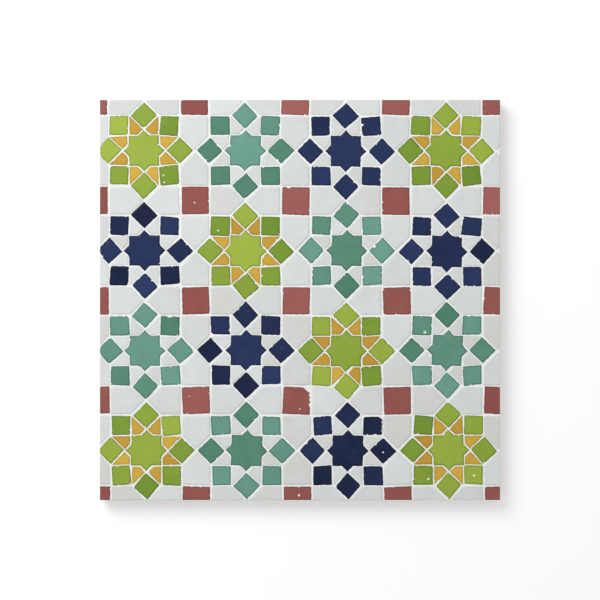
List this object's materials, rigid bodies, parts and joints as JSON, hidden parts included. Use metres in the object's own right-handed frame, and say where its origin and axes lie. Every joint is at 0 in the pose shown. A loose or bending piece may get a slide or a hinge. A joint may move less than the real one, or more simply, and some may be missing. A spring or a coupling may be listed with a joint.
{
  "type": "glazed mosaic tile panel",
  "caption": "Square panel of hand-cut glazed mosaic: rosettes of stars, squares and kites between white arrows and red squares, grouted on a mortar bed.",
  "frame": {"origin": "centre of the panel's back, on the mortar", "axes": "+X to the right and +Y up the pattern as it is looked at, +Z out of the glazed face"},
  "size_m": [0.4, 0.4, 0.02],
  "materials": {
    "mortar": "rough cast cement mortar",
    "grout": "matt white cement grout",
    "lime_glaze": "glossy uneven glaze",
    "amber_glaze": "glossy uneven glaze",
    "sea_green_glaze": "glossy uneven glaze",
    "navy_glaze": "glossy uneven glaze",
    "white_glaze": "glossy uneven glaze",
    "red_glaze": "satin uneven glaze"
  },
  "bodies": {
    "root": {"mortar_bed": "mortar", "grout": "grout", "lime_stars": "lime_glaze", "lime_squares": "lime_glaze", "amber_kites": "amber_glaze", "sea_green_stars": "sea_green_glaze", "sea_green_squares": "sea_green_glaze", "navy_stars": "navy_glaze", "navy_squares": "navy_glaze", "white_kites": "white_glaze", "white_arrows": "white_glaze", "red_squares": "red_glaze"}
  },
  "joints": []
}
